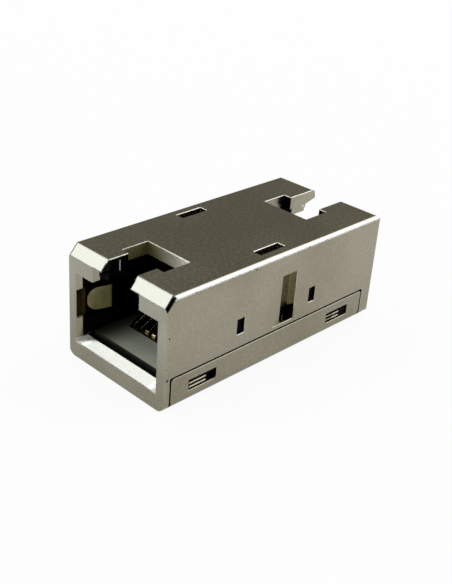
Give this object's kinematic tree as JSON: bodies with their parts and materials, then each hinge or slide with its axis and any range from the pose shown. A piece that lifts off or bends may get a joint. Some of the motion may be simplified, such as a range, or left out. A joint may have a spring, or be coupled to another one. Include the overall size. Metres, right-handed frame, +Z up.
{
  "type": "rj45 inline coupler",
  "caption": "Plated metal in-line coupler with a latched eight-way plug port at each end and a bottom cover clipped under the body.",
  "frame": {"origin": "centre of the underside, midway between the two port faces", "axes": "+Y along the body towards the rear port, +X across it, +Z up to the latch slots; the front port faces -Y"},
  "size_m": [0.0142, 0.0308, 0.012],
  "materials": {
    "plated_body": "satin nickel plate",
    "plated_cover": "satin nickel plate",
    "board_laminate": "solder mask",
    "insert_plastic": "moulded, satin",
    "floor_sheet": "punched sheet",
    "gold_contact": "gold plate",
    "spring_sheet": "rolled sheet"
  },
  "bodies": {
    "root": {"housing": "plated_body", "bottom_cover": "plated_cover", "circuit_board": "board_laminate", "front_insert": "insert_plastic", "rear_insert": "insert_plastic", "front_floor_plate": "floor_sheet", "rear_floor_plate": "floor_sheet", "front_contact_1": "gold_contact", "front_contact_2": "gold_contact", "front_contact_3": "gold_contact", "front_contact_4": "gold_contact", "front_contact_5": "gold_contact", "front_contact_6": "gold_contact", "front_contact_7": "gold_contact", "front_contact_8": "gold_contact", "rear_contact_1": "gold_contact", "rear_contact_2": "gold_contact", "rear_contact_3": "gold_contact", "rear_contact_4": "gold_contact", "rear_contact_5": "gold_contact", "rear_contact_6": "gold_contact", "rear_contact_7": "gold_contact", "rear_contact_8": "gold_contact", "front_spring_left": "spring_sheet", "front_spring_right": "spring_sheet", "rear_spring_left": "spring_sheet", "rear_spring_right": "spring_sheet"}
  },
  "joints": []
}
